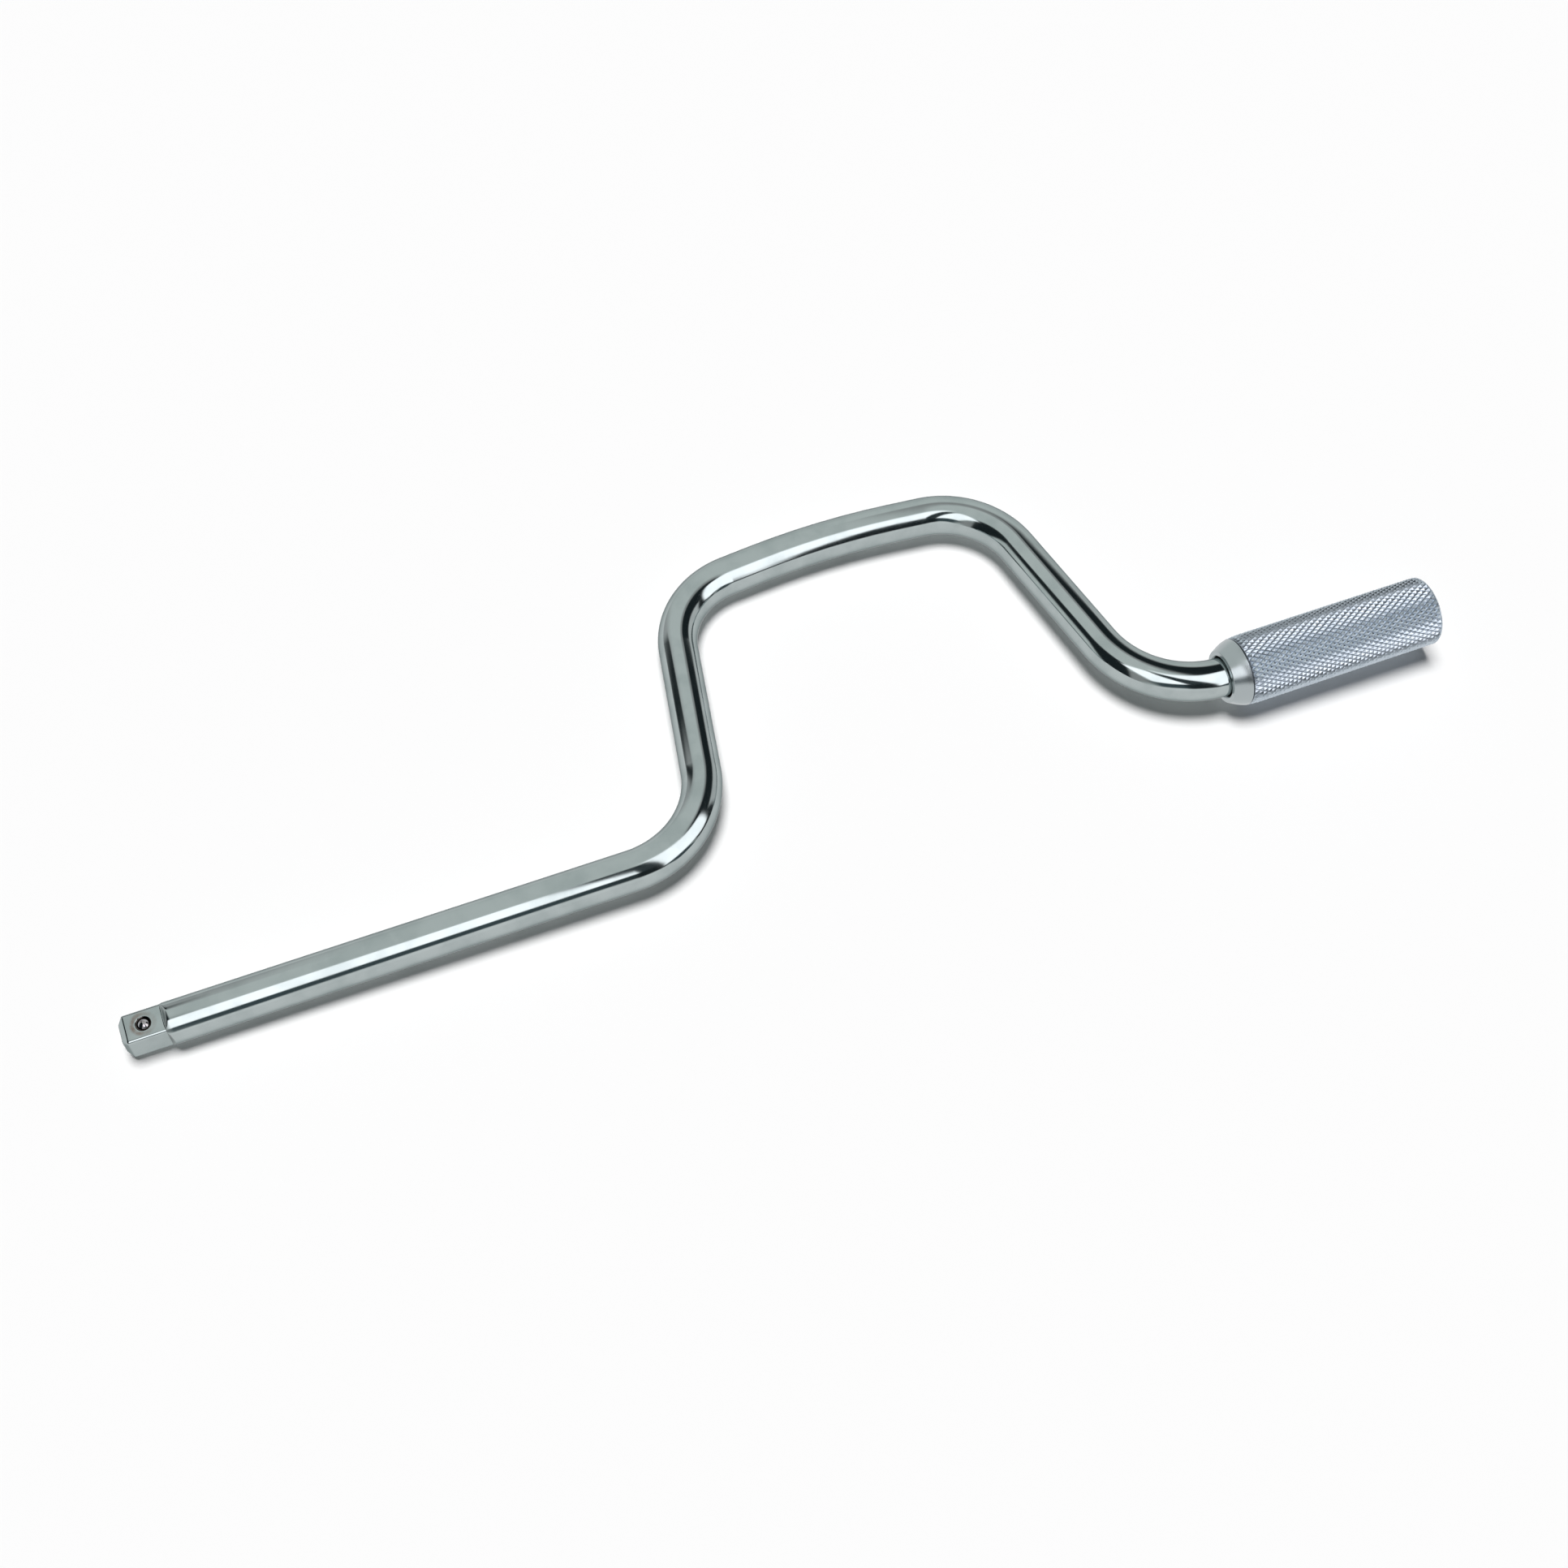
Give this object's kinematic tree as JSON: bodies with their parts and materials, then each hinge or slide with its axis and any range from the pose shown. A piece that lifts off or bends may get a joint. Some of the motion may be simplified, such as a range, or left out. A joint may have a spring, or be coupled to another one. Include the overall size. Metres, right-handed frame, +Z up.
{
  "type": "speeder handle",
  "caption": "Crank-shaped speeder handle: bent chromed bar with a square drive and sprung detent ball at one end and a free-spinning knurled grip at the other.",
  "frame": {"origin": "middle of the bounding box, on the surface that the tool lies on", "axes": "+X along the tool from the drive square to the grip, +Y toward the bow, +Z up"},
  "size_m": [0.4242, 0.1128, 0.0235],
  "materials": {
    "polished_chrome": "polished chrome plate",
    "satin_chrome": "chrome plate over a knurled surface",
    "ball_steel": "polished hardened ball",
    "spring_steel": "drawn wire",
    "ring_steel": "phosphated",
    "washer_steel": "plain",
    "plug_chrome": "turned and plated"
  },
  "bodies": {
    "bar": {"crank_bar": "polished_chrome", "detent_spring": "spring_steel", "thrust_washer": "washer_steel", "retaining_ring": "ring_steel"},
    "grip": {"grip_sleeve": "satin_chrome", "end_plug": "plug_chrome"},
    "detent": {"detent_ball": "ball_steel"}
  },
  "joints": [
    {"name": "grip_spin", "type": "hinge", "parent": "bar", "child": "grip", "pos_m": [0.17537, -0.0451, 0.0117], "axis": [0.9999, 0, 0.0143], "continuous": true},
    {"name": "ball_press", "type": "slide", "parent": "bar", "child": "detent", "axis": [0.0143, -0.0309, -0.9994], "range_m": [0, 0.0008], "stiffness_N_per_m": 5000, "springref_m": -0.0015, "deforming": ["detent_spring"]}
  ]
}
